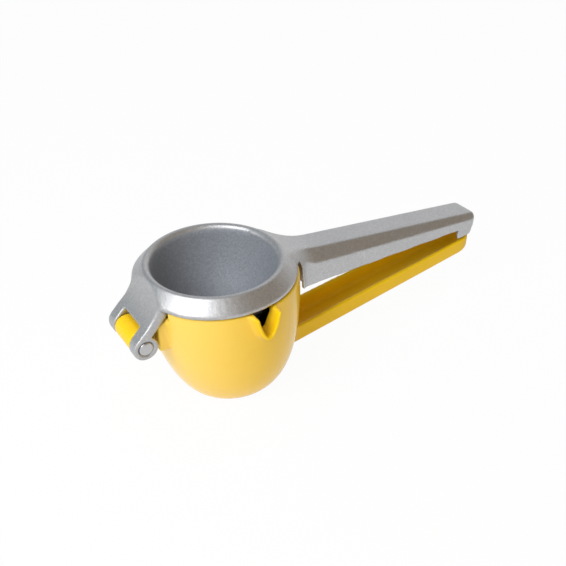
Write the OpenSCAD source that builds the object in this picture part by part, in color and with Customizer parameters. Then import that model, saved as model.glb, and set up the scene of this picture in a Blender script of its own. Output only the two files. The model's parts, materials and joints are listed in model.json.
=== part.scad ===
// Citrus press: two hinged castings, a rivet and a lift-out sieve.
// Millimetres, +Z up. The origin is on the foot plane below the axis of the pressing bowl,
// the handles run along +X, the hinge lies at -X and the pouring lip faces -Y.

/* [Cup] */
// Outer radius of the cup at its rim
rim_r = 38.6; // [37.6:0.1:39.4]
// Height of the rim above the foot
cup_h = 60.6; // [59:0.2:64]
// Lean of the cup axis that carries the foot towards the handle, degrees
cup_lean = 6.1; // [5:0.1:6.8]
// Offset of the rim centre from the bowl axis, towards the handle
cup_shift = 1.5; // [0.5:0.1:2]
// Wall thickness of the cup
cup_wall = 2.6; // [2:0.1:3.2]
// Thickness of the floor over the foot
floor_t = 3; // [2.4:0.1:4]
// Radius where the cup wall turns into the foot
foot_r = 18.5; // [16:0.5:21]
// Radius that the upper wall aims at, halfway down
waist_r = 38.4; // [36.5:0.1:39]
// Depth of that aim below the rim
waist_drop = 28; // [22:0.5:34]
// Radius that the lower wall aims at, above the foot
belly_r = 31; // [28:0.5:33]

/* [Pouring lip] */
// Half width of the lip opening at the rim
lip_half_w = 4.9; // [4.2:0.1:6]
// Depth of the lip opening below the rim
lip_drop = 11.4; // [9:0.2:13]
// How far the lip reaches out past the rim
lip_reach = 5.4; // [4:0.1:6.4]
// Wall thickness of the lip
lip_wall = 1.8; // [1.4:0.1:2.4]
// Extra half width of the lip where it leaves the cup
lip_flare = 4; // [3:0.5:5]
// Offset of the lip from the rim centre, towards the handle
lip_offset = 1.7; // [0:0.1:3]

/* [Lower handle] */
// Half width of the channel at the cup
low_w_root = 11; // [10:0.1:12]
// Half width of the channel before its rounded tip
low_w_tip = 10; // [9.6:0.1:10.6]
// Wall and floor thickness of the channel
low_wall = 2.4; // [1.8:0.1:2.6]
// Height of the channel underside above the foot, at the cup
low_under = 7.8; // [7:0.1:9]
// Rise of the underside towards the tip, degrees
low_rise = 7.89; // [7.6:0.01:8.2]
// Depth of the channel side at the cup
low_side = 11.3; // [10.6:0.1:11.8]
// Loss of side depth at the start of the tip
low_side_loss = 1.2; // [0.8:0.1:1.6]
// Bevel along the lower edges of the channel
low_bevel = 2.6; // [1.5:0.1:3]
// How far the channel ends short of the upper handle
low_short = 0.8; // [0:0.1:2]
// Length of the rounded tip
low_tip_len = 9.4; // [8:0.2:12]

/* [Ring and bowl] */
// Outer radius of the ring
ring_r = 39; // [38.4:0.1:39.6]
// Gap between the cup rim and the ring
rim_gap = 0.6; // [0.4:0.1:1.2]
// Inner radius of the bowl at its mouth
mouth_r = 29.8; // [28:0.1:30.4]
// Width of the rounding on the inside of the mouth
mouth_lip = 2.6; // [2:0.1:3]
// Depth of that rounding
lip_fall = 3; // [2.4:0.1:3.4]
// Radius of the rounding between the mouth and the flank
lip_round = 1.4; // [1:0.1:1.8]
// Height of the mouth above the lower edge of the ring
mouth_rise = 8; // [7.4:0.1:8.4]
// Height of the upright outer edge of the ring
edge_h = 1.7; // [1.2:0.1:2]
// Depth of the bowl below the mouth
bowl_depth = 37.3; // [34:0.1:38]
// Wall thickness of ring and bowl
bowl_wall = 2; // [1.7:0.1:2.1]
// Depth to which the bowl side stays steep
bowl_side = 20.3; // [16:0.1:24]
// Radius that the bowl floor aims at
bowl_floor_r = 19; // [15:0.5:22]

/* [Upper handle] */
// Half width of the flat top
top_w = 7; // [6:0.1:7.6]
// Half width of the sides at the neck
side_w_root = 13; // [12:0.1:13.6]
// Half width of the sides at the tip
side_w_tip = 10; // [9.4:0.1:10.8]
// Height of the flat top at the neck, against the lower edge of the ring
top_z = 0.35; // [-0.5:0.05:1]
// Fall of the flat top towards the tip, degrees
top_fall = 6.83; // [6.4:0.01:7.2]
// Depth of the skirt below the lower edge of the ring
skirt_drop = 17.6; // [15:0.1:19]
// Fall of the skirt edge towards the tip, degrees
skirt_fall = 1.6; // [0.5:0.1:2.5]
// Wall thickness of the hollow handle
handle_wall = 2.4; // [1.8:0.1:2.8]
// Reach of the handle from the bowl axis
top_len = 162.2; // [160:0.2:164]
// Slant of the end face, degrees
end_slant = 22; // [18:0.5:25]
// Length of the neck that flares into the ring
neck_len = 22; // [20:0.5:24]
// Rise of the flat top where it meets the ring
neck_rise = 4.4; // [3.8:0.1:4.6]
// Extra half width of the flat top where it meets the ring
neck_flare = 12; // [10:0.5:12.5]
// How far the sides spread at the front of the skirts
neck_spread = 4.2; // [3.8:0.1:4.6]
// Steepness of the bevels, rise over width
bevel_tan = 1; // [0.95:0.01:1.05]
// Clearance between the cup rim and the skirts
rim_clear = 2.2; // [2:0.1:2.6]
// Gap between the cup rim and the cross wall in the neck
web_gap = 2.4; // [2:0.1:3]
// Thickness of that cross wall
web_t = 2; // [1.6:0.1:2.4]

/* [Handle end] */
// Length of the deepened end of the skirts
end_len = 10.2; // [9:0.1:11]
// Gap between that end and the edge of the channel when closed
end_gap = 1.7; // [1:0.1:2.4]
// How far the deepened end stands back from the skirt faces
end_inset = 0.3; // [0.2:0.05:0.5]

/* [Hinge] */
// Distance from the rim to the hinge axis
hinge_out = 5.2; // [5:0.1:6]
// Depth of the hinge axis below the lower edge of the ring
hinge_drop = 17.6; // [17:0.1:18.4]
// Radius of the ear bosses
boss_r = 6; // [5.8:0.1:6.6]
// Slope of the hinge tongue, degrees
tongue_slope = 45; // [43:0.5:47]
// Thickness of the hinge tongue
tongue_t = 4.7; // [4:0.1:5]
// Half width over both ears
clevis_w = 15; // [14.4:0.1:15.6]
// Thickness of each ear
ear_t = 6.5; // [6:0.1:7]
// Distance from the hinge axis to the bottom of the slot
slot_in = 6.6; // [6.4:0.1:7.6]
// Side gap between an ear and the knuckle
ear_gap = 0.35; // [0.3:0.05:0.6]
// Radius of the knuckle
knuckle_r = 5.7; // [5.2:0.1:6]
// Gap between the tongue and the hinge block
tongue_gap = 1; // [0.8:0.1:1.6]
// Gap between the ear bosses and the hinge block
boss_gap = 1; // [0.6:0.1:1.6]
// Side room of the rim notch beyond the tongue
notch_side = 1.4; // [1:0.1:2]
// Half width of the hinge block at the cup
block_w = 13.4; // [12:0.1:14.4]

/* [Rivet] */
// Radius of the rivet shank
rivet_r = 2.5; // [2:0.1:3]
// Radius of the rivet heads
head_r = 3.4; // [3.2:0.1:3.8]
// Height of a head above its seat
head_h = 1.6; // [1.2:0.1:2]
// Radial gap between head and recess
recess_gap = 0.5; // [0.2:0.1:0.8]
// Depth of the recesses in the ears
recess_depth = 1.3; // [1:0.1:1.8]
// Radial clearance of the shank in the ears
ear_fit = 0.03; // [0.02:0.01:0.08]
// Radial clearance of the shank in the knuckle
knuckle_fit = 0.06; // [0.03:0.01:0.1]

/* [Sieve] */
// Depth of the sieve ledge below the rim, along the cup axis
ledge_depth = 37; // [35:0.5:40]
// Width of the ledge
ledge_w = 1.8; // [1.4:0.1:2.4]
// Sheet thickness of the sieve
sieve_t = 0.8; // [0.6:0.1:1]
// Radial play of the sieve in the cup
sieve_play = 0.4; // [0.3:0.05:0.8]
// Depth of the pan below the ledge
pan_depth = 7; // [5:0.5:9]
// Radius of the flat pan floor
pan_r = 21.5; // [20.5:0.5:23]
// Radius of the juice holes
hole_r = 1.7; // [1.2:0.1:2]
// Spacing of the hole rings
hole_pitch = 5.6; // [5:0.1:5.8]

/* [Hidden] */
$fn = 96;
yellow = [1, 0.8, 0.02];
silver = [0.7, 0.71, 0.72];
steel = [0.8, 0.8, 0.8];
eps = 0.02;
far = 200;
// Datum of the upper arm: the lower edge of the ring when closed
ring_z = cup_h + rim_gap;
mouth_z = ring_z + mouth_rise;
// Hinge axis in the plane of the handles
hinge = [-(rim_r + hinge_out), ring_z - hinge_drop];
tongue_u = [cos(tongue_slope), sin(tongue_slope)];
tongue_n = [-sin(tongue_slope), cos(tongue_slope)];
slot_w = clevis_w - ear_t;
knuckle_w = slot_w - ear_gap;
block_x = hinge[0] + boss_r + boss_gap;
block_top = boss_r - tongue_t - tongue_gap;
// Cup profile down its leaning axis
cup_end = cup_h / cos(cup_lean) + foot_r * tan(cup_lean);
cup_curve = [[rim_r, 0], [waist_r, -waist_drop], [belly_r, -cup_end], [foot_r, -cup_end]];
cup_steps = 18;
cup_rise = rim_r * sin(cup_lean) + 3;
skirt_x = rim_r - 0.1;
side_x = 46;
inner_pts = [for (i = [0:cup_steps]) curve_off(cup_curve, i / cup_steps, cup_wall)];
inner_table = [for (p = inner_pts) [-p[1], p[0]]];
ledge_r = lookup(ledge_depth, inner_table);
// Bowl profile
bowl_curve = [
    [mouth_r, mouth_z],
    [mouth_r - 1.2, mouth_z - bowl_side],
    [bowl_floor_r, mouth_z - bowl_depth],
    [0, mouth_z - bowl_depth]
];
bowl_steps = 20;
// Upper handle lines
neck_x0 = mouth_r - 2.8;
lip_steps = 8;
flank_a = 46;
crest_r = mouth_r + mouth_lip;
flank_top = [crest_r + lip_round * sin(flank_a), mouth_z - lip_round * (1 - cos(flank_a))];
flank_low = [ring_r, ring_z + edge_h];
neck_x1 = flank_top[0];
top_x = 46;
neck_top = mouth_z - 0.8;
tip_x = top_len - 3;
// Channel lines
low_x0 = 41;
low_len = top_len - low_short;
low_tip = low_len - low_tip_len;

function curve(p, t) = p[0] * pow(1 - t, 3) + 3 * p[1] * t * pow(1 - t, 2)
    + 3 * p[2] * t * t * (1 - t) + p[3] * t * t * t;
function curve_dir(p, t) = (p[1] - p[0]) * pow(1 - t, 2) + 2 * (p[2] - p[1]) * t * (1 - t)
    + (p[3] - p[2]) * t * t;
function curve_off(p, t, d) = let (v = curve_dir(p, t)) curve(p, t) + d * [v[1], -v[0]] / norm(v);
function clamp01(v) = max(0, min(1, v));
function at_hinge(u, n) = hinge + u * tongue_u + n * tongue_n;

// Shares of the neck flare and of the neck rise at x
function flare(x) = pow(1 - clamp01((x - neck_x0) / neck_len), 1.6);
function lift(x) = pow(1 - clamp01((x - neck_x1) / neck_len), 1.8);
function top_line(x) = ring_z + top_z - (x - top_x) * tan(top_fall);
function top_at(x) = min(neck_top, top_line(x) + neck_rise * lift(x));
function top_half(x) = top_w + neck_flare * flare(x);
function side_half(x) = side_w_root
    + (side_w_tip - side_w_root) * clamp01((x - side_x) / (tip_x - side_x))
    + neck_spread * pow(max(0, side_x - x) / (side_x - skirt_x), 2);
function skirt_at(x) = ring_z - skirt_drop - (x - top_x) * tan(skirt_fall);

// Cross-sections of the upper handle: flat top, bevels, upright sides
function bevel_section(x, wt, ws, zt, zb) = [
    [x, ws, zb],
    [x, ws, zt - bevel_tan * (ws - wt)],
    [x, wt, zt],
    [x, -wt, zt],
    [x, -ws, zt - bevel_tan * (ws - wt)],
    [x, -ws, zb]
];

// Cross-sections of the channel
function low_z(x) = low_under + (x - low_x0) * tan(low_rise);
function low_edge(x) = low_z(x) + low_side - low_side_loss * (x - low_x0) / (low_tip - low_x0);
function low_half(x) = low_w_root + (low_w_tip - low_w_root) * (x - low_x0) / (low_tip - low_x0);
function channel_section(x, w, z0, z1, b) = [
    [x, -w, z1],
    [x, -w, z0 + b],
    [x, -w + b, z0],
    [x, w - b, z0],
    [x, w, z0 + b],
    [x, w, z1]
];
// Rounded tip: t runs from 0 at its start to 1 at its end
function tip_w(t) = 0.3 + 0.7 * cos(90 * t);
function tip_z(t) = 5.2 * (1 - cos(75 * t));

// Solid through a row of equal cross-sections. A folded section runs out along one side of a wall and
// back along the other, so its ends close in a strip between the two.
function strip(n, o) = [
    for (i = [0:n / 2 - 2])
    each [[o + i, o + i + 1, o + n - 2 - i], [o + i, o + n - 2 - i, o + n - 1 - i]]
];
function turned(f) = [for (t = f) [t[0], t[2], t[1]]];
module loft(rows, folded = false) {
    n = len(rows[0]);
    m = len(rows);
    last = (m - 1) * n;
    polyhedron(
        points = [for (r = rows) each r],
        faces = concat(
            folded ? strip(n, 0) : [[for (i = [0:n - 1]) i]],
            [
                for (j = [0:m - 2], i = [0:n - 1])
                let (k = (i + 1) % n)
                each [[j * n + i, (j + 1) * n + i, (j + 1) * n + k], [j * n + i, (j + 1) * n + k, j * n + k]]
            ],
            folded ? turned(strip(n, last)) : [[for (i = [n - 1:-1:0]) last + i]]
        ),
        convexity = 6
    );
}

// Profile in the plane of the handles, drawn through the width from -w to w
module across(w) {
    translate([0, w, 0])
        rotate([90, 0, 0])
            linear_extrude(2 * w)
                children();
}

module half_above(z) {
    translate([-far, -far, z])
        cube([2 * far, 2 * far, far]);
}

module cup_frame() {
    translate([cup_shift, 0, cup_h])
        rotate([0, -cup_lean, 0])
            children();
}

module cup_outside() {
    intersection() {
        cup_frame()
            rotate_extrude()
                polygon(concat(
                    [[0, cup_rise], [rim_r, cup_rise]],
                    [for (i = [0:cup_steps]) curve(cup_curve, i / cup_steps)],
                    [[0, -cup_end]]
                ));
        translate([-far, -far, 0])
            cube([2 * far, 2 * far, cup_h]);
    }
}

module cup_inside() {
    intersection() {
        cup_frame()
            rotate_extrude()
                polygon(concat(
                    [[0, 2 * cup_rise], [rim_r - cup_wall, 2 * cup_rise]],
                    inner_pts,
                    [[0, -cup_end + cup_wall]]
                ));
        half_above(floor_t);
    }
}

// Rows of the pouring lip from the wall out to its end
lip_y0 = rim_r - 6;
lip_y1 = rim_r + lip_reach;
lip_x = cup_shift + lip_offset;
lip_rows = 7;
lip_pts = 8;
function lip_section(y, w, d, top) = concat(
    [for (i = [-lip_pts:lip_pts]) [lip_x + w * i / lip_pts, -y, cup_h - d * (1 - pow(i / lip_pts, 2))]],
    [[lip_x + w, -y, cup_h + top], [lip_x - w, -y, cup_h + top]]
);

module lip_outside() {
    intersection() {
        loft([
            for (k = [0:lip_rows])
            let (t = k / lip_rows, f = pow(1 - t, 2))
            lip_section(
                lip_y0 + (lip_y1 - lip_y0) * t,
                lip_half_w + lip_wall + lip_flare * f,
                lip_drop + lip_wall + 2 * lip_flare * f,
                2
            )
        ]);
        translate([-far, -far, 0])
            cube([2 * far, 2 * far, cup_h]);
    }
}

module lip_inside() {
    loft([
        lip_section(lip_y0 - 6, lip_half_w, lip_drop - 1.6, 3),
        lip_section(lip_y1 + 1, lip_half_w, lip_drop, 3)
    ]);
}

// Channel handle of the lower arm
module channel_outside() {
    loft(concat(
        [for (x = [22, low_tip]) channel_section(x, low_half(x), low_z(x), low_edge(x), low_bevel)],
        [
            for (k = [1:6])
            let (t = k / 6, x = low_tip + low_tip_len * sin(90 * t))
            channel_section(x, low_w_tip * tip_w(t), low_z(x) + tip_z(t), low_edge(x), low_bevel * tip_w(t))
        ]
    ));
}

module channel_inside() {
    b = low_bevel * 0.6;
    loft(concat(
        [
            for (x = [22, low_tip])
            channel_section(x, low_half(x) - low_wall, low_z(x) + low_wall, low_edge(x) + 4, b)
        ],
        [
            for (k = [1:5])
            let (t = k / 5, x = low_tip + (low_tip_len - low_wall) * sin(90 * t))
            channel_section(
                x,
                (low_w_tip - low_wall) * tip_w(t),
                low_z(x) + low_wall + tip_z(t) * 0.5,
                low_edge(x) + 4,
                b * tip_w(t)
            )
        ]
    ));
}

// Hinge block and knuckle, outline in the plane of the handles
module block_outline() {
    bottom = hinge[1] - knuckle_r;
    reach = 22;
    polygon([
        [hinge[0], bottom],
        [hinge[0] + reach, bottom],
        at_hinge(reach, block_top),
        at_hinge(0, block_top),
        hinge
    ]);
}

module hinge_block() {
    across(knuckle_w) {
        block_outline();
        translate(hinge)
            circle(r = knuckle_r);
    }
    across(block_w)
        intersection() {
            block_outline();
            translate([block_x, 0])
                square([far, far]);
        }
}

// Room for the tongue where it passes the rim
module rim_notch() {
    across(clevis_w + notch_side)
        polygon([
            at_hinge(-5, block_top),
            at_hinge(27, block_top),
            at_hinge(27, block_top + 30),
            at_hinge(-5, block_top + 30)
        ]);
}

module ledge() {
    cup_frame()
        rotate_extrude()
            polygon([
                [ledge_r + cup_wall / 2, -ledge_depth],
                [ledge_r - ledge_w, -ledge_depth],
                [ledge_r - ledge_w, -ledge_depth - 0.8],
                [ledge_r + cup_wall / 2 - 1, -ledge_depth - 0.8 - ledge_w - cup_wall / 2]
            ]);
}

module pin_hole(r) {
    translate([hinge[0], 0, hinge[1]])
        rotate([90, 0, 0])
            cylinder(h = far, r = r, center = true);
}

module lower_arm() {
    color(yellow) {
        difference() {
            union() {
                difference() {
                    union() {
                        cup_outside();
                        lip_outside();
                    }
                    rim_notch();
                }
                hinge_block();
                difference() {
                    channel_outside();
                    channel_inside();
                }
            }
            cup_inside();
            lip_inside();
            pin_hole(rivet_r + knuckle_fit);
        }
        ledge();
    }
}

// Ring and bowl, one turned profile: the mouth rounds over into a straight flank
bowl_out = [for (i = [0:bowl_steps]) curve_off(bowl_curve, i / bowl_steps, -bowl_wall)];
bowl_out_low = [for (p = bowl_out) if (p[1] < ring_z) p];
bowl_out_r = bowl_out_low[0][0];

module ring_outside() {
    rotate_extrude()
        polygon(concat(
            [[0, mouth_z - lip_fall]],
            [
                for (i = [0:lip_steps])
                let (a = 90 * i / lip_steps)
                [crest_r - mouth_lip * cos(a), mouth_z - lip_fall * (1 - sin(a))]
            ],
            [
                for (i = [1:lip_steps / 2])
                let (a = flank_a * i / (lip_steps / 2))
                [crest_r + lip_round * sin(a), mouth_z - lip_round * (1 - cos(a))]
            ],
            [flank_low, [ring_r, ring_z], [bowl_out_r + 0.8, ring_z]],
            [for (i = [0:len(bowl_out_low) - 2]) bowl_out_low[i]],
            [[0, mouth_z - bowl_depth - bowl_wall]]
        ));
}

module bowl_inside() {
    rotate_extrude()
        polygon(concat(
            [[0, mouth_z + 10], [mouth_r, mouth_z + 10]],
            [for (i = [0:bowl_steps]) curve(bowl_curve, i / bowl_steps)]
        ));
}

// Hinge tongue with two ears
module tongue() {
    across(clevis_w) {
        polygon([
            at_hinge(0, boss_r),
            at_hinge(24, boss_r),
            at_hinge(24, boss_r - tongue_t),
            at_hinge(0, boss_r - tongue_t)
        ]);
        translate(hinge)
            circle(r = boss_r);
        polygon([
            at_hinge(0, boss_r - tongue_t),
            at_hinge(boss_r, boss_r - tongue_t),
            at_hinge(boss_r * 0.8, -boss_r * 0.6),
            hinge
        ]);
    }
}

module ear_slot() {
    across(slot_w)
        polygon([
            at_hinge(-20, -20),
            at_hinge(slot_in, -20),
            at_hinge(slot_in, 20),
            at_hinge(-20, 20)
        ]);
}

// Hollow curve that leads the flank of the ring down into the flat tongue
scoop_at = 7;
scoop_half = 19;
scoop_n = boss_r - 0.06;
scoop_to = [-flank_top[0] - 0.3 - hinge[0], flank_top[1] - hinge[1]];
scoop_du = scoop_to * tongue_u - scoop_at;
scoop_dn = scoop_to * tongue_n - scoop_n;
scoop_r = (scoop_du * scoop_du + scoop_dn * scoop_dn) / (2 * scoop_dn);
module tongue_scoop() {
    c = at_hinge(scoop_at, scoop_n + scoop_r);
    translate([c[0], 0, c[1]])
        rotate([90, 0, 0])
            cylinder(h = 2 * scoop_half, r = scoop_r, center = true, $fn = 180);
}

// Solid under that curve: the flank drawn on downwards, a hair inside it
module tongue_root() {
    drop = 12;
    inset = 0.15;
    foot = flank_low + drop * [1 / tan(flank_a), -1];
    head = flank_low + [-2 / tan(flank_a), 2];
    intersection() {
        across(clevis_w)
            polygon([
                at_hinge(scoop_at, scoop_n - 1),
                at_hinge(scoop_at, scoop_n + scoop_dn),
                at_hinge(scoop_at + scoop_du, scoop_n + scoop_dn),
                at_hinge(scoop_at + scoop_du, scoop_n - 1)
            ]);
        rotate_extrude()
            polygon([
                [0, foot[1]],
                [foot[0] - inset, foot[1]],
                [head[0] - inset, head[1]],
                [0, head[1]]
            ]);
    }
}

// Upper handle: one hollow bevelled section from the ring to the tip. Over the cup rim the bevels end
// at the ring's lower edge, past the rim they reach down and the skirts begin.
rim_over = 0.9;
function rim_half(x) = sqrt(max(0, pow(rim_r + rim_clear, 2) - pow(x - cup_shift - 0.4, 2)));
function rim_edge(x) = sqrt(max(0, pow(rim_r + rim_over, 2) - pow(x - cup_shift, 2)));
front_len = 2.5;
function front_drop(x) = 0.05 + 0.95 * clamp01((x - skirt_x) / front_len);
function over_section(x) = let (
        zt = top_at(x),
        wt = top_half(x),
        z0 = ring_z + 0.25,
        ws = wt + zt - z0
    ) [
        [x, ws, z0],
        [x, ws - 0.2, z0 + 0.4],
        [x, wt, zt],
        [x, -wt, zt],
        [x, -ws + 0.2, z0 + 0.4],
        [x, -ws, z0],
        [x, -ws + 1, z0 + 0.12],
        [x, -ws + 2, z0 + 0.22],
        [x, -ws + 3, z0 + 0.3],
        [x, ws - 3, z0 + 0.3],
        [x, ws - 2, z0 + 0.22],
        [x, ws - 1, z0 + 0.12]
    ];
function arm_section(x) = let (
        zt = top_at(x),
        wt = top_half(x),
        ws = side_half(x),
        zs = zt - bevel_tan * (ws - wt),
        zb = zs - 0.6 - (zs - 0.6 - skirt_at(x)) * front_drop(x),
        wi = min(ws - 0.8, max(ws - handle_wall, rim_half(x))),
        wj = min(wi - 1.2, max(wt - handle_wall * 0.42, rim_edge(x))),
        past = clamp01((x - rim_end) / 2),
        zk = (1 - past) * ring_z + past * (zt - handle_wall)
    ) [
        [x, ws, zb],
        [x, ws, zs],
        [x, wt, zt],
        [x, -wt, zt],
        [x, -ws, zs],
        [x, -ws, zb],
        [x, -wi, zb],
        [x, -wi, max(zb + 0.2, zs - handle_wall * 0.5)],
        [x, -wj, zk],
        [x, wj, zk],
        [x, wi, max(zb + 0.2, zs - handle_wall * 0.5)],
        [x, wi, zb]
    ];
rim_end = cup_shift + rim_r + rim_over;

module handle() {
    loft(concat(
        [for (k = [0:8]) over_section(neck_x0 + (skirt_x - 0.15 - neck_x0) * k / 8)],
        [for (d = [0, 0.6, 1.2, 1.8, front_len, 3.6, 5, 7, 9.5, 12.5]) arm_section(skirt_x + d)],
        [arm_section(neck_x1 + neck_len)],
        [arm_section(tip_x - 1)]
    ), folded = true);
}

module tip_block() {
    x0 = tip_x - handle_wall;
    loft([
        bevel_section(x0, top_half(x0), side_half(x0), top_at(x0), skirt_at(x0)),
        bevel_section(tip_x, top_w, side_w_tip, top_at(tip_x), skirt_at(tip_x)),
        bevel_section(tip_x + 1.9, top_w - 0.1, side_w_tip - 1.1, top_at(tip_x + 1.9) - 0.1, skirt_at(tip_x)),
        bevel_section(top_len, top_w - 0.8, side_w_tip - 2.6, top_at(top_len) - 0.6, skirt_at(tip_x))
    ]);
}

// Cross wall that closes the hollow of the handle behind the cup rim
web_x = rim_end + web_gap;
web_sink = 1;
function web_section(x) = bevel_section(
    x,
    top_half(x) - web_sink,
    side_half(x) - web_sink,
    top_at(x) - web_sink,
    skirt_at(x) + 0.4
);

module neck_web() {
    loft([web_section(web_x), web_section(web_x + web_t)]);
}

// Deepened end of the skirts, closed by the end wall and open towards the hinge
end_back = 1.5 * handle_wall;
function end_section(x, w, lift) = let (
        low = low_edge(x) + end_gap + lift,
        high = skirt_at(min(x, tip_x)) + 1.3
    ) [
        [x, w - end_inset, low],
        [x, w - end_inset, high],
        [x, end_inset - w, high],
        [x, end_inset - w, low]
    ];

module end_stop() {
    x0 = tip_x - end_len;
    difference() {
        loft([
            end_section(x0, side_half(x0), 0.8),
            end_section(x0 + 0.8, side_half(x0 + 0.8), 0),
            end_section(tip_x, side_w_tip, 0),
            end_section(tip_x + 1.9, side_w_tip - 1.1, 0),
            end_section(top_len, side_w_tip - 2.6, 0)
        ]);
        across(side_w_tip - end_inset - handle_wall)
            translate([x0 - 1, 0])
                square([end_len + 1 - end_back, far]);
    }
}

module end_cut() {
    translate([top_len, 0, top_at(top_len) - 2.5])
        rotate([0, end_slant, 0])
            translate([0, -far / 2, -far])
                cube([far, far, far + 2]);
}

module recesses() {
    for (s = [-1, 1])
        translate([hinge[0], s * clevis_w, hinge[1]])
            rotate([90, 0, 0])
                cylinder(h = 2 * recess_depth, r = head_r + recess_gap, center = true);
}

module upper_arm() {
    color(silver)
        difference() {
            union() {
                difference() {
                    union() {
                        ring_outside();
                        tongue_root();
                    }
                    tongue_scoop();
                }
                tongue();
                handle();
                neck_web();
                difference() {
                    union() {
                        tip_block();
                        end_stop();
                    }
                    end_cut();
                }
            }
            bowl_inside();
            ear_slot();
            pin_hole(rivet_r + ear_fit);
            recesses();
        }
}

module hinge_rivet() {
    seat = clevis_w - recess_depth + eps;
    dome = [for (k = [0:6]) [head_r * sin(15 * k), head_h * (0.45 + 0.55 * cos(15 * k))]];
    color(steel)
        translate([hinge[0], 0, hinge[1]])
            rotate([90, 0, 0])
                rotate_extrude()
                    polygon(concat(
                        [for (k = [0:6]) [dome[k][0], -seat - dome[k][1]]],
                        [[head_r, -seat], [rivet_r, -seat], [rivet_r, seat], [head_r, seat]],
                        [for (k = [6:-1:0]) [dome[k][0], seat + dome[k][1]]]
                    ));
}

module sieve() {
    flange = ledge_r - sieve_play;
    wall = ledge_r - ledge_w - 0.6;
    color(steel)
        cup_frame()
            translate([0, 0, -ledge_depth + eps])
                difference() {
                    rotate_extrude()
                        polygon([
                            [0, -pan_depth],
                            [pan_r, -pan_depth],
                            [wall, 0],
                            [flange, 0],
                            [flange, sieve_t],
                            [wall - sieve_t * 0.5, sieve_t],
                            [pan_r - sieve_t * 0.5, sieve_t - pan_depth],
                            [0, sieve_t - pan_depth]
                        ]);
                    for (k = [0:3], i = [0:max(0, 6 * k - 1)])
                        rotate(k == 0 ? 0 : i * 60 / k)
                            translate([k * hole_pitch, 0, -pan_depth - 1])
                                cylinder(h = sieve_t + 2, r = hole_r, $fn = 32);
                }
}

lower_arm();
upper_arm();
hinge_rivet();
sieve();
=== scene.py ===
import json

import bmesh
import bpy
import numpy as np
from bpy.props import FloatProperty, FloatVectorProperty, IntProperty, PointerProperty
from mathutils import Matrix, Vector


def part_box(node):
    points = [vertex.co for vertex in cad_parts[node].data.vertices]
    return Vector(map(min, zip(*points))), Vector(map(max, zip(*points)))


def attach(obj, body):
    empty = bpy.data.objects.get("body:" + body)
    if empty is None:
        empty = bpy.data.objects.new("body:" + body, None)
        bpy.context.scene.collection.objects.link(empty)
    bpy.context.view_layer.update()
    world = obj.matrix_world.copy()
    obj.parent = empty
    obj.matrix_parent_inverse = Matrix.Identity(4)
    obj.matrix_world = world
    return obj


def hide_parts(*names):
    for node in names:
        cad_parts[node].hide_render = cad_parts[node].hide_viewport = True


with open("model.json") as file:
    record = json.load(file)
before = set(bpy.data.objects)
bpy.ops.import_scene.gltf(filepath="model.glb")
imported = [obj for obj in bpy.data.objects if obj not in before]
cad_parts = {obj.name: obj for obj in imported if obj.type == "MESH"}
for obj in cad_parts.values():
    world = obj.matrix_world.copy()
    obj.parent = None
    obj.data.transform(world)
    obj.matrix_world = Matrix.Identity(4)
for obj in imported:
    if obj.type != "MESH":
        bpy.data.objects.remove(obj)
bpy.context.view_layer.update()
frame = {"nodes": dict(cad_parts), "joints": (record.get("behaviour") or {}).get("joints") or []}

bl_info = {
    "name": "Citrus press",
    "version": (1, 0, 0),
    "blender": (4, 5, 0),
    "location": "3D View > Sidebar > Press",
    "description": "Dresses a packed citrus press with cast skins, finishes and a studio",
    "category": "Object",
}

MM = 0.001
WHITE = (1, 1, 1, 1)
MAX_CHANNEL = 1.0

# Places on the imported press
HINGE = Vector(frame["joints"][0]["pos_m"])
ARM_LOW, ARM_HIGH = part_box("lower_arm")
RIM_Z = ARM_HIGH.z
RING_TOP_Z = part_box("upper_arm")[1].z
SIEVE_LOW, SIEVE_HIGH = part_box("sieve")

# The bowl is matt up to the lip of the ring
BOWL_R = 30 * MM
BOWL_EDGE = 0.8 * MM
BOWL_TOP = (RING_TOP_Z - 2.8 * MM, RING_TOP_Z - 0.6 * MM)

# The cup's mask ends where the handle and the hinge block leave it; on the cup a painted reflection, a
# paler cream, fades out along +X
CUP_R = 41 * MM
CUP_EDGE = 2 * MM
REFLECTION_FADE = (-28 * MM, 12 * MM)

# Sizes of the marks in the finishes
ENAMEL_CLOUD = 26 * MM
ENAMEL_PEEL = 1.5 * MM
ENAMEL_DUST = 0.5 * MM
SILVER_CLOUD = 18 * MM
SILVER_GRAIN = 1.1 * MM
SILVER_FLAKE = 0.6 * MM
RIVET_WOBBLE = 2 * MM
RIVET_SCUFF = 1.2 * MM
SIEVE_STREAK = 1.6 * MM
SIEVE_STAIN = 9 * MM
# Turning rings in radians per metre: one ring each 0.24 mm
RIVET_RINGS = 26000.0

# Depths of the relief in the finishes
PEEL_DEPTH = 0.03 * MM
GRAIN_DEPTH = 0.05 * MM
RING_DEPTH = 0.004 * MM
STREAK_DEPTH = 0.01 * MM

# Cast skins
WELD = 0.002 * MM
FULL_CREST = 0.25 * MM
CREST_PASSES = 4
MOST_TRIANGLES = 190000

# Zones whose edges are rounded further: the tongue's is measured from the hinge
ZONE_BORDER = 3 * MM
ZONE_MARGIN = 4 * MM
RIM_DEPTH = 6 * MM
CHANNEL_START = 44 * MM
HANDLE_HALF = 20 * MM
NECK_START, NECK_END = 31 * MM, 54 * MM
NECK_LIFT = 1.6 * MM
TONGUE_START, TONGUE_END = -1 * MM, 13 * MM
TONGUE_HALF = 24 * MM
TONGUE_LIFT = 9 * MM
TONGUE_DROP = 1.5 * MM

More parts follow.
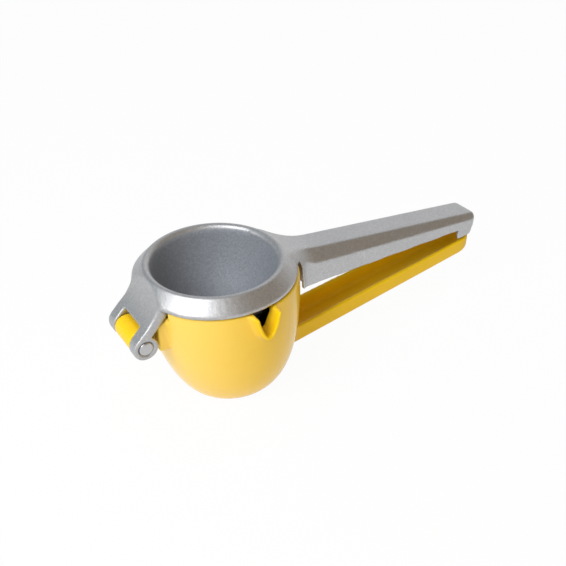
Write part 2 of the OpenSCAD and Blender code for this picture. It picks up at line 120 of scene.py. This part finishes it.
# Studio, in metres
KEY_SPOT = Vector((-0.31, -0.11, 0.40))
KEY_AIM = Vector((50 * MM, 0, 35 * MM))
KEY_SIZE = 0.28
FLOOR_HALF = 4.0
FLOOR_ROUGHNESS = 0.9
CAMERA_SPOT = Vector((-139.95 * MM, -277.74 * MM, 263.34 * MM))
CAMERA_AHEAD = Vector((0.4472, 0.698, -0.5593))
CAMERA_UP = Vector((0.3066, 0.4678, 0.8289))
SENSOR_WIDTH = 36.0
CLIP_NEAR, CLIP_FAR = 0.01, 20.0

# Sides of the room, and how squarely a ray has to face each for it to begin and to be full
OVERHEAD = (0, 0, 1)
COOL_WAY = (-0.6, 0.75, 0.28)
DARK_WAY = (0.6, -0.6, 0.53)
HORIZON_BAND = (0.09, 0.17)
CEILING_BAND = (0.5, 0.9)
COOL_BAND = (0.45, 0.9)
DARK_BAND = (0.5, 0.85)


class Wire:
    """An output of a finish's nodes, with the arithmetic that the finishes use."""

    def __init__(self, finish, socket):
        self.finish = finish
        self.socket = socket

    def __add__(self, other):
        return self.finish.math("ADD", self, other)

    def __radd__(self, other):
        return self.finish.math("ADD", other, self)

    def __sub__(self, other):
        return self.finish.math("SUBTRACT", self, other)

    def __rsub__(self, other):
        return self.finish.math("SUBTRACT", other, self)

    def __mul__(self, other):
        return self.finish.math("MULTIPLY", self, other)

    def __rmul__(self, other):
        return self.finish.math("MULTIPLY", other, self)

    def __pow__(self, other):
        return self.finish.math("POWER", self, other)


class Finish:
    """The node tree of a material or of the world, built from expressions."""

    def __init__(self, tree):
        self.tree = tree

    def node(self, kind, settings, sockets, out=0):
        """Adds a node, sets it up, feeds its sockets and returns one output."""
        made = self.tree.nodes.new(kind)
        for name, value in settings.items():
            setattr(made, name, value)
        for key, value in sockets.items():
            self.feed(made.inputs[key], value)
        return Wire(self, made.outputs[out])

    def feed(self, socket, value):
        """Links a wire to a socket, or sets the socket to a value."""
        if isinstance(value, Wire):
            self.tree.links.new(value.socket, socket)
        else:
            socket.default_value = value

    def math(self, operation, first, second):
        """A Math node on two values."""
        return self.node("ShaderNodeMath", {"operation": operation}, {0: first, 1: second})

    def place(self):
        """Object coordinates: the row frame, in metres."""
        return self.node("ShaderNodeTexCoord", {}, {}, "Object")

    def along(self, place, axis):
        """One coordinate of a place."""
        return self.node("ShaderNodeSeparateXYZ", {}, {"Vector": place}, axis)

    def turned(self, place, centre, rotation, stretch):
        """Coordinates moved to a centre, turned and stretched."""
        sockets = {"Vector": place, "Location": centre, "Rotation": rotation}
        moved = self.node("ShaderNodeMapping", {"vector_type": "TEXTURE"}, sockets)
        return self.node("ShaderNodeMapping", {}, {"Vector": moved, "Scale": stretch})

    def noise(self, place, size, detail=2.0, roughness=0.5):
        """Soft noise whose blotches are about that size, in metres."""
        sockets = {"Vector": place, "Scale": 1 / size, "Detail": detail, "Roughness": roughness}
        return self.node("ShaderNodeTexNoise", {}, sockets)

    def flakes(self, place, size):
        """A random shade for each small cell of that size, in metres."""
        cell = self.node("ShaderNodeTexVoronoi", {}, {"Vector": place, "Scale": 1 / size}, "Color")
        return self.node("ShaderNodeSeparateColor", {}, {"Color": cell})

    def radius(self, place, *axes):
        """Distance from the line across two axes."""
        first, second = (self.along(place, axis) for axis in axes)
        return (first * first + second * second) ** 0.5

    def band(self, value, low, high):
        """0 below low, 1 above high, eased between them."""
        sockets = {"Value": value, "From Min": low, "From Max": high}
        return self.node("ShaderNodeMapRange", {"interpolation_type": "SMOOTHSTEP"}, sockets)

    def crest(self):
        """The piece's own edge measure: 0 in a hollow, 0.5 on a flat, 1 on an edge."""
        return self.node("ShaderNodeAttribute", {"attribute_name": "crest"}, {}, "Fac")

    def blend(self, factor, first, second):
        """A colour between two colours."""
        return self.node("ShaderNodeMix", {"data_type": "RGBA"}, {0: factor, 6: first, 7: second}, 2)

    def relief(self, height, depth):
        """A normal for relief of that depth, in metres."""
        return self.node("ShaderNodeBump", {}, {"Height": height, "Distance": depth})


def new_finish(name, constants):
    """A material with those constants on its shader, its node tree and the shader's sockets."""
    material = bpy.data.materials.new(name)
    material.use_nodes = True
    shader = material.node_tree.nodes["Principled BSDF"]
    for socket, value in constants.items():
        shader.inputs[socket].default_value = value
    return material, Finish(material.node_tree), shader.inputs


def opaque(colour, gain=1.0):
    """A colour made lighter or darker, with full alpha."""
    return (*(min(MAX_CHANNEL, channel * gain) for channel in colour), 1.0)


def yellow_enamel(look):
    """Thick glossy enamel with orange peel, thin edges, hollows darkened by pooled enamel and painted
    shade, and a painted reflection on the cup.
    """
    coat = {"IOR": 1.3, "Coat Roughness": look.coat_roughness, "Coat IOR": 1.45}
    material, paint, shader = new_finish("yellow_enamel", coat)
    place = paint.place()
    crest = paint.crest()
    cloud = paint.noise(place, ENAMEL_CLOUD, 3.0)
    peel = paint.noise(place, ENAMEL_PEEL, 1.5)
    dust = paint.band(paint.noise(place, ENAMEL_DUST, 1.0), 0.66, 0.74)
    thin = paint.band(crest, 0.55, 0.85)
    # Hollows take a deeper colour: pooled enamel, and painted shade where shade falls in them
    pool_and_shade = 1 - paint.band(crest, 0.12, 0.44)
    cup = 1 - paint.band(paint.radius(place, "X", "Y"), CUP_R, CUP_R + CUP_EDGE)
    # Painted reflection: the cup is paled to cream, most on the hinge side, as if it reflected the bright
    # surroundings there
    painted_reflection = cup * (1 - 0.9 * paint.band(paint.along(place, "X"), *REFLECTION_FADE))
    tone = paint.blend(paint.band(cloud, 0.3, 0.7), opaque(look.yellow), opaque(look.yellow, 0.955))
    tone = paint.blend(painted_reflection, tone, opaque(look.cup_painted_reflection))
    tone = paint.blend(pool_and_shade * 0.5, tone, opaque(look.yellow_pool_and_shade))
    tone = paint.blend(thin * 0.6, tone, opaque(look.yellow_pale))
    paint.feed(shader["Base Color"], tone)
    paint.feed(shader["Roughness"], look.enamel_roughness + 0.1 * cloud + 0.08 * peel + 0.12 * dust)
    paint.feed(shader["Coat Weight"], 0.28 + 0.42 * cup - 0.2 * thin - 0.08 * dust)
    paint.feed(shader["Normal"], paint.relief(peel + 0.35 * cloud - 0.5 * dust, PEEL_DEPTH))
    return material


def silver_casting(look):
    """Satin metallic coat over a cast skin, with bright edges, painted shade in hollows and a matt bowl.
    """
    material, paint, shader = new_finish("silver_casting", {})
    place = paint.place()
    crest = paint.crest()
    cloud = paint.noise(place, SILVER_CLOUD, 4.0)
    grain = paint.noise(place, SILVER_GRAIN, 2.0, 0.6)
    flake = paint.flakes(place, SILVER_FLAKE)
    worn = paint.band(crest, 0.62, 0.98)
    # Painted shade: the coat is darkened in hollows, where shade falls
    hollow_shade = 1 - paint.band(crest, 0.1, 0.42)
    speck = paint.band(flake, 0.86, 0.99)
    inside = 1 - paint.band(paint.radius(place, "X", "Y"), BOWL_R, BOWL_R + BOWL_EDGE)
    bowl = inside * (1 - paint.band(paint.along(place, "Z"), *BOWL_TOP))
    tone = paint.blend(0.55 * flake + 0.45 * grain, opaque(look.silver, 0.84), opaque(look.silver, 1.16))
    tone = paint.blend(paint.band(cloud, 0.3, 0.75) * 0.4, tone, opaque(look.silver, 0.93))
    tone = paint.blend(hollow_shade * 0.35, tone, opaque(look.silver_hollow_shade))
    tone = paint.blend(worn * 0.4 + speck * 0.3, tone, opaque(look.silver, 1.22))
    blast = paint.blend(0.6 * flake + 0.4 * grain, opaque(look.bowl, 0.8), opaque(look.bowl, 1.2))
    paint.feed(shader["Base Color"], paint.blend(bowl, tone, blast))
    paint.feed(shader["Metallic"], 1 - 0.75 * bowl)
    satin = look.silver_roughness + 0.14 * grain + 0.08 * cloud - 0.07 * worn
    paint.feed(shader["Roughness"], satin + bowl * 0.22)
    paint.feed(shader["Normal"], paint.relief(grain + 0.4 * flake, GRAIN_DEPTH))
    return material


def rivet_steel(look):
    """Bright turned steel with fine rings round the hinge axis, and scuffs."""
    material, paint, shader = new_finish("rivet_steel", {"Metallic": 1.0})
    place = paint.turned(paint.place(), HINGE, (0, 0, 0), (1, 1, 1))
    streaked = paint.turned(paint.place(), HINGE, (0, 0.6, 0), (1, 1, 9))
    turning = paint.radius(place, "X", "Z") * RIVET_RINGS + paint.noise(place, RIVET_WOBBLE) * 3.0
    ring = paint.node("ShaderNodeMath", {"operation": "SINE"}, {0: turning})
    scuff = paint.band(paint.noise(streaked, RIVET_SCUFF), 0.55, 0.75)
    tone = paint.blend(0.5 + 0.25 * ring, opaque(look.steel, 0.66), opaque(look.steel, 0.78))
    tone = paint.blend(scuff * 0.35, tone, opaque(look.steel, 0.5))
    paint.feed(shader["Base Color"], tone)
    paint.feed(shader["Roughness"], 0.26 + 0.03 * ring + 0.16 * scuff)
    paint.feed(shader["Normal"], paint.relief(ring + scuff, RING_DEPTH))
    return material


def sieve_steel(look):
    """Pressed sheet steel with rolling streaks and faint juice stains."""
    material, paint, shader = new_finish("sieve_steel", {"Metallic": 1.0})
    place = paint.place()
    rolled = paint.turned(place, (SIEVE_LOW + SIEVE_HIGH) / 2, (0, 0, 0.5), (1, 14, 1))
    streak = paint.noise(rolled, SIEVE_STREAK, 3.0)
    stain = paint.band(paint.noise(place, SIEVE_STAIN, 3.0), 0.52, 0.7)
    tone = paint.blend(streak, opaque(look.steel, 0.82), opaque(look.steel))
    tone = paint.blend(stain * 0.3, tone, opaque(look.stain))
    paint.feed(shader["Base Color"], tone)
    paint.feed(shader["Roughness"], 0.24 + 0.14 * streak + 0.12 * stain)
    paint.feed(shader["Normal"], paint.relief(streak, STREAK_DEPTH))
    return material


def mark_crests(mesh):
    """Stores how far each vertex stands out of its neighbours, as the crest attribute."""
    count = len(mesh.vertices)
    spots = np.empty(count * 3)
    mesh.vertices.foreach_get("co", spots)
    spots = spots.reshape(-1, 3)
    normals = np.empty(count * 3)
    mesh.vertex_normals.foreach_get("vector", normals)
    ends = np.empty(len(mesh.edges) * 2, int)
    mesh.edges.foreach_get("vertices", ends)
    near, far = ends.reshape(-1, 2).T
    degree = np.bincount(ends, minlength=count)

    def around(values):
        """The mean over the neighbours of each vertex."""
        there = np.bincount(near, values[far], count)
        return (there + np.bincount(far, values[near], count)) / degree

    middle = np.stack([around(spots[:, axis]) for axis in range(3)], 1)
    height = ((spots - middle) * normals.reshape(-1, 3)).sum(1) / FULL_CREST
    for _ in range(CREST_PASSES):
        height = (height + around(height)) / 2
    crest = mesh.attributes.new("crest", "FLOAT", "POINT")
    crest.data.foreach_set("value", np.clip(0.5 + height, 0, 1))


class Zone:
    """A box in which a casting's edges are rounded further, with a soft border."""

    def __init__(self, low, high, passes):
        self.low = low
        self.high = high
        self.passes = passes

    def depth(self, spot):
        """How far a point lies inside, as a share of the border: below 0 outside, 1 well inside."""
        room = min(min(spot[k] - self.low[k], self.high[k] - spot[k]) for k in range(3))
        return room / ZONE_BORDER


def soften(shape, verts):
    """One pass of rounding over those vertices."""
    bmesh.ops.smooth_vert(
        shape, verts=verts, factor=0.5, use_axis_x=True, use_axis_y=True, use_axis_z=True
    )


def soften_zone(shape, zone):
    """All passes of a zone, which reach less far into its border one by one."""
    inside = [(vert, zone.depth(vert.co)) for vert in shape.verts]
    inside = [(vert, depth) for vert, depth in inside if depth > 0]
    for turn in range(zone.passes):
        soften(shape, [vert for vert, depth in inside if depth > turn / zone.passes])


def settled(piece):
    """The piece's mesh with its modifiers applied to it."""
    graph = bpy.context.evaluated_depsgraph_get()
    mesh = bpy.data.meshes.new_from_object(
        piece.evaluated_get(graph), preserve_all_data_layers=True, depsgraph=graph
    )
    piece.modifiers.clear()
    return mesh


def thin_out(piece):
    """Merges the least needed triangles of a skin that has too many."""
    skin = piece.data
    skin.calc_loop_triangles()
    count = len(skin.loop_triangles)
    if count > MOST_TRIANGLES:
        merge = piece.modifiers.new("thin", "DECIMATE")
        merge.ratio = MOST_TRIANGLES / count
        piece.data = settled(piece)
        piece.data.name = piece.name
        bpy.data.meshes.remove(skin)


def cast_skin(node, name, grain, passes, zones=()):
    """A fine even skin over a CAD node, with the soft edges of a casting."""
    shape = bmesh.new()
    shape.from_mesh(frame["nodes"][node].data)
    bmesh.ops.remove_doubles(shape, verts=shape.verts, dist=WELD)
    core = bpy.data.meshes.new(name + "_core")
    shape.to_mesh(core)
    shape.free()
    piece = bpy.data.objects.new(name, core)
    bpy.context.scene.collection.objects.link(piece)
    remesh = piece.modifiers.new("skin", "REMESH")
    remesh.mode = "VOXEL"
    remesh.voxel_size = grain
    skin = settled(piece)
    shape = bmesh.new()
    shape.from_mesh(skin)
    for _ in range(passes):
        soften(shape, shape.verts)
    for zone in zones:
        soften_zone(shape, zone)
    shape.to_mesh(skin)
    shape.free()
    skin.materials.clear()
    skin.name = name
    piece.data = skin
    bpy.data.meshes.remove(core)
    mark_crests(skin)
    thin_out(piece)
    piece.data.shade_smooth()
    return piece


def wear(piece, material, body, slot, *nodes):
    """Gives a piece its finish and its body, and hides the nodes it stands for. The slot is not used."""
    piece.data.materials.append(material)
    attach(piece, body)
    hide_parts(*nodes)


class PressLook(bpy.types.PropertyGroup):
    """Colours and gloss of the press."""

    yellow: FloatVectorProperty(
        name="Yellow",
        description="Enamel of the lower arm",
        subtype="COLOR",
        default=(0.96, 0.6, 0.003),
    )
    # A pale cream painted on the cup as a reflection of the bright surroundings
    cup_painted_reflection: FloatVectorProperty(
        name="Cup painted reflection",
        description="Painted reflection on the cup, strongest on the hinge side",
        subtype="COLOR",
        default=(0.96, 0.645, 0.1),
    )
    # Pooled enamel in hollows, with painted shade there too
    yellow_pool_and_shade: FloatVectorProperty(
        name="Pooled yellow and shade",
        description="Enamel pooled in hollows, darkened further as painted shade",
        subtype="COLOR",
        default=(0.78, 0.36, 0.002),
    )
    yellow_pale: FloatVectorProperty(
        name="Pale yellow",
        description="Enamel where it is thin on edges",
        subtype="COLOR",
        default=(1.0, 0.73, 0.002),
    )
    enamel_roughness: FloatProperty(
        name="Enamel roughness",
        description="Least roughness under the coat",
        subtype="FACTOR",
        default=0.42,
    )
    coat_roughness: FloatProperty(
        name="Coat roughness",
        description="Roughness of the clear top of the enamel",
        subtype="FACTOR",
        default=0.05,
    )
    silver: FloatVectorProperty(
        name="Silver",
        description="Metallic coat of the upper arm",
        subtype="COLOR",
        default=(0.5, 0.503, 0.512),
    )
    # Painted shade in the hollows of the coat
    silver_hollow_shade: FloatVectorProperty(
        name="Silver hollow shade",
        description="Metallic coat darkened in hollows as painted shade",
        subtype="COLOR",
        default=(0.34, 0.335, 0.33),
    )
    bowl: FloatVectorProperty(
        name="Bowl",
        description="Matt inside of the pressing bowl",
        subtype="COLOR",
        default=(0.28, 0.3, 0.333),
    )
    silver_roughness: FloatProperty(
        name="Silver roughness",
        description="Least roughness of the metallic coat",
        subtype="FACTOR",
        default=0.36,
    )
    steel: FloatVectorProperty(
        name="Steel",
        description="Bare steel of rivet and sieve",
        subtype="COLOR",
        default=(0.72, 0.72, 0.73),
    )
    stain: FloatVectorProperty(
        name="Stain",
        description="Dried juice on the sieve",
        subtype="COLOR",
        default=(0.42, 0.37, 0.28),
    )


class PressSkin(bpy.types.PropertyGroup):
    """Fineness of the cast skins."""

    arm_grain: FloatProperty(
        name="Arm grain",
        description="Mesh spacing on the arms",
        unit="LENGTH",
        precision=5,
        default=0.56 * MM,
    )
    rivet_grain: FloatProperty(
        name="Rivet grain",
        description="Mesh spacing on the rivet",
        unit="LENGTH",
        precision=5,
        default=0.2 * MM,
    )
    edge_passes: IntProperty(
        name="Edge passes",
        description="Rounding of the cast edges",
        default=4,
    )
    rim_passes: IntProperty(
        name="Rim passes",
        description="Extra rounding of the enamelled rims",
        default=6,
    )
    neck_passes: IntProperty(
        name="Neck passes",
        description="Extra rounding where handle and ring meet",
        default=14,
    )
    tongue_passes: IntProperty(
        name="Tongue passes",
        description="Extra rounding on the hinge tongue",
        default=10,
    )


class PressStudio(bpy.types.PropertyGroup):
    """Light, floor and camera."""

    key_watts: FloatProperty(
        name="Key",
        description="Soft box close by on the left",
        unit="POWER",
        default=1.6,
    )
    floor: FloatVectorProperty(
        name="Floor",
        description="Colour of the floor",
        subtype="COLOR",
        default=(0.9, 0.9, 0.9),
    )
    floor_glow: FloatProperty(
        name="Floor glow",
        description="How far the seen floor is lifted to white",
        subtype="FACTOR",
        default=0.96,
    )
    backdrop: FloatVectorProperty(
        name="Backdrop",
        description="Room light from the white sweep",
        subtype="COLOR",
        default=(1.0, 1.0, 1.0),
    )
    ceiling: FloatVectorProperty(
        name="Ceiling",
        description="Room light from overhead",
        subtype="COLOR",
        default=(0.41, 0.43, 0.47),
    )
    dark_side: FloatVectorProperty(
        name="Dark side",
        description="Room light from the front right",
        subtype="COLOR",
        default=(0.34, 0.27, 0.19),
    )
    cool_side: FloatVectorProperty(
        name="Cool side",
        description="Room light from the back left",
        subtype="COLOR",
        default=(0.36, 0.395, 0.41),
    )
    lens: FloatProperty(
        name="Lens",
        description="Focal length of the camera",
        unit="CAMERA",
        default=49.94,
    )


class PressSettings(bpy.types.PropertyGroup):
    """All settings of the press."""

    look: PointerProperty(type=PressLook)
    skin: PointerProperty(type=PressSkin)
    studio: PointerProperty(type=PressStudio)


class PRESS_OT_lower_arm(bpy.types.Operator):
    """Enamelled cup, lip, hinge block and channel handle"""

    bl_idname = "press.lower_arm"
    bl_label = "Lower arm"

    def execute(self, context):
        press = context.scene.press
        skin = press.skin
        rim = Zone(
            (-CUP_R, ARM_LOW.y - ZONE_MARGIN, RIM_Z - RIM_DEPTH),
            (CUP_R, CUP_R, RIM_Z + ZONE_MARGIN),
            skin.rim_passes,
        )
        channel = Zone(
            (CHANNEL_START, -HANDLE_HALF, ARM_LOW.z),
            (ARM_HIGH.x + ZONE_MARGIN, HANDLE_HALF, RIM_Z),
            skin.rim_passes,
        )
        piece = cast_skin(
            "lower_arm", "lower_arm_casting", skin.arm_grain, skin.edge_passes, (rim, channel)
        )
        wear(piece, yellow_enamel(press.look), "lower", "yellow_enamel", "lower_arm")
        return {"FINISHED"}


class PRESS_OT_upper_arm(bpy.types.Operator):
    """Silver ring, bowl, tongue and hollow handle"""

    bl_idname = "press.upper_arm"
    bl_label = "Upper arm"

    def execute(self, context):
        press = context.scene.press
        skin = press.skin
        neck = Zone(
            (NECK_START, -HANDLE_HALF, RIM_Z + NECK_LIFT),
            (NECK_END, HANDLE_HALF, RING_TOP_Z),
            skin.neck_passes,
        )
        tongue = Zone(
            (HINGE.x + TONGUE_START, -TONGUE_HALF, HINGE.z + TONGUE_LIFT),
            (HINGE.x + TONGUE_END, TONGUE_HALF, RING_TOP_Z - TONGUE_DROP),
            skin.tongue_passes,
        )
        piece = cast_skin(
            "upper_arm", "upper_arm_casting", skin.arm_grain, skin.edge_passes, (neck, tongue)
        )
        wear(piece, silver_casting(press.look), "upper", "silver_casting", "upper_arm")
        return {"FINISHED"}


class PRESS_OT_rivet(bpy.types.Operator):
    """Domed rivet through the hinge"""

    bl_idname = "press.rivet"
    bl_label = "Hinge rivet"

    def execute(self, context):
        press = context.scene.press
        piece = cast_skin("hinge_rivet", "rivet_turned", press.skin.rivet_grain, press.skin.edge_passes)
        wear(piece, rivet_steel(press.look), "upper", "rivet_steel", "hinge_rivet")
        return {"FINISHED"}


class PRESS_OT_sieve(bpy.types.Operator):
    """Perforated pan in the cup"""

    bl_idname = "press.sieve"
    bl_label = "Sieve"

    def execute(self, context):
        pan = frame["nodes"]["sieve"]
        pan.data.materials.clear()
        pan.data.materials.append(sieve_steel(context.scene.press.look))
        return {"FINISHED"}


def hang_key(studio):
    """A square soft box on the left that faces the press."""
    lamp = bpy.data.lights.new("key", "AREA")
    lamp.size = KEY_SIZE
    lamp.energy = studio.key_watts
    holder = bpy.data.objects.new("key", lamp)
    holder.location = KEY_SPOT
    holder.rotation_euler = (KEY_AIM - KEY_SPOT).to_track_quat("-Z", "Y").to_euler()
    bpy.context.scene.collection.objects.link(holder)


def seen_rays(paint):
    """1 for rays that show a background, straight on or in metal or glass, else 0."""
    rays = ("Is Camera Ray", "Is Glossy Ray", "Is Transmission Ray")
    camera, glossy, through = (paint.node("ShaderNodeLightPath", {}, {}, ray) for ray in rays)
    return paint.math("MAXIMUM", paint.math("MAXIMUM", camera, glossy), through)


def lay_floor(studio):
    """A wide pale floor that shows white but keeps the shadow."""
    shape = bmesh.new()
    bmesh.ops.create_grid(shape, x_segments=1, y_segments=1, size=FLOOR_HALF)
    mesh = bpy.data.meshes.new("floor")
    shape.to_mesh(mesh)
    shape.free()
    matt = {"Base Color": opaque(studio.floor), "Roughness": FLOOR_ROUGHNESS}
    material, paint, _ = new_finish("floor", matt)
    nodes = material.node_tree.nodes
    glow = paint.node("ShaderNodeEmission", {}, {"Color": WHITE, "Strength": 1.0})
    surface = Wire(paint, nodes["Principled BSDF"].outputs[0])
    lift = seen_rays(paint) * studio.floor_glow
    lit = paint.node("ShaderNodeMixShader", {}, {0: lift, 1: surface, 2: glow})
    paint.feed(nodes["Material Output"].inputs["Surface"], lit)
    mesh.materials.append(material)
    floor = bpy.data.objects.new("floor", mesh)
    bpy.context.scene.collection.objects.link(floor)


def light_room(studio):
    """A white sweep under a dim ceiling, with an unlit front right and a cool back left."""
    world = bpy.data.worlds.new("room")
    bpy.context.scene.world = world
    world.use_nodes = True
    paint = Finish(world.node_tree)
    way = paint.node("ShaderNodeTexCoord", {}, {}, "Generated")

    def facing(side):
        """How squarely a ray faces a side of the room."""
        return paint.node("ShaderNodeVectorMath", {"operation": "DOT_PRODUCT"}, {0: way, 1: side}, "Value")

    rise = facing(OVERHEAD)
    above = paint.band(rise, *HORIZON_BAND)
    cool = above * paint.band(facing(COOL_WAY), *COOL_BAND)
    dark = above * paint.band(facing(DARK_WAY), *DARK_BAND)
    tone = paint.blend(paint.band(rise, *CEILING_BAND), opaque(studio.backdrop), opaque(studio.ceiling))
    tone = paint.blend(cool, tone, opaque(studio.cool_side))
    tone = paint.blend(dark, tone, opaque(studio.dark_side))
    back = paint.node("ShaderNodeBackground", {}, {"Color": tone, "Strength": 1.0})
    paint.feed(world.node_tree.nodes["World Output"].inputs["Surface"], back)


def set_camera(studio):
    """In front, left of the cup, looking down."""
    lens = bpy.data.cameras.new("camera")
    lens.lens = studio.lens
    lens.sensor_width = SENSOR_WIDTH
    lens.clip_start = CLIP_NEAR
    lens.clip_end = CLIP_FAR
    camera = bpy.data.objects.new("camera", lens)
    ahead = CAMERA_AHEAD.normalized()
    side = ahead.cross(CAMERA_UP).normalized()
    turn = Matrix((side, side.cross(ahead), -ahead)).transposed().to_4x4()
    camera.matrix_world = Matrix.Translation(CAMERA_SPOT) @ turn
    bpy.context.scene.collection.objects.link(camera)
    bpy.context.scene.camera = camera


class PRESS_OT_studio(bpy.types.Operator):
    """Floor, lamp, room light and camera"""

    bl_idname = "press.studio"
    bl_label = "Studio"

    def execute(self, context):
        studio = context.scene.press.studio
        hang_key(studio)
        lay_floor(studio)
        light_room(studio)
        set_camera(studio)
        context.scene.view_settings.view_transform = "Standard"
        return {"FINISHED"}


class PRESS_PT_panel(bpy.types.Panel):
    """Lists the press's settings and its steps"""

    bl_idname = "PRESS_PT_panel"
    bl_label = "Citrus press"
    bl_space_type = "VIEW_3D"
    bl_region_type = "UI"
    bl_category = "Press"

    def draw(self, context):
        press = context.scene.press
        for group in (press.look, press.skin, press.studio):
            column = self.layout.column()
            for name in group.bl_rna.properties.keys():
                if name not in ("rna_type", "name"):
                    column.prop(group, name)
        for step in STEPS:
            self.layout.operator(step.bl_idname)


STEPS = (PRESS_OT_lower_arm, PRESS_OT_upper_arm, PRESS_OT_rivet, PRESS_OT_sieve, PRESS_OT_studio)
CLASSES = (PressLook, PressSkin, PressStudio, PressSettings, *STEPS, PRESS_PT_panel)


def register():
    for each in CLASSES:
        bpy.utils.register_class(each)
    bpy.types.Scene.press = PointerProperty(type=PressSettings)


def unregister():
    del bpy.types.Scene.press
    for each in reversed(CLASSES):
        bpy.utils.unregister_class(each)


def main():
    register()
    bpy.ops.press.lower_arm()
    bpy.ops.press.upper_arm()
    bpy.ops.press.rivet()
    bpy.ops.press.sieve()
    bpy.ops.press.studio()


if __name__ == "__main__":
    main()
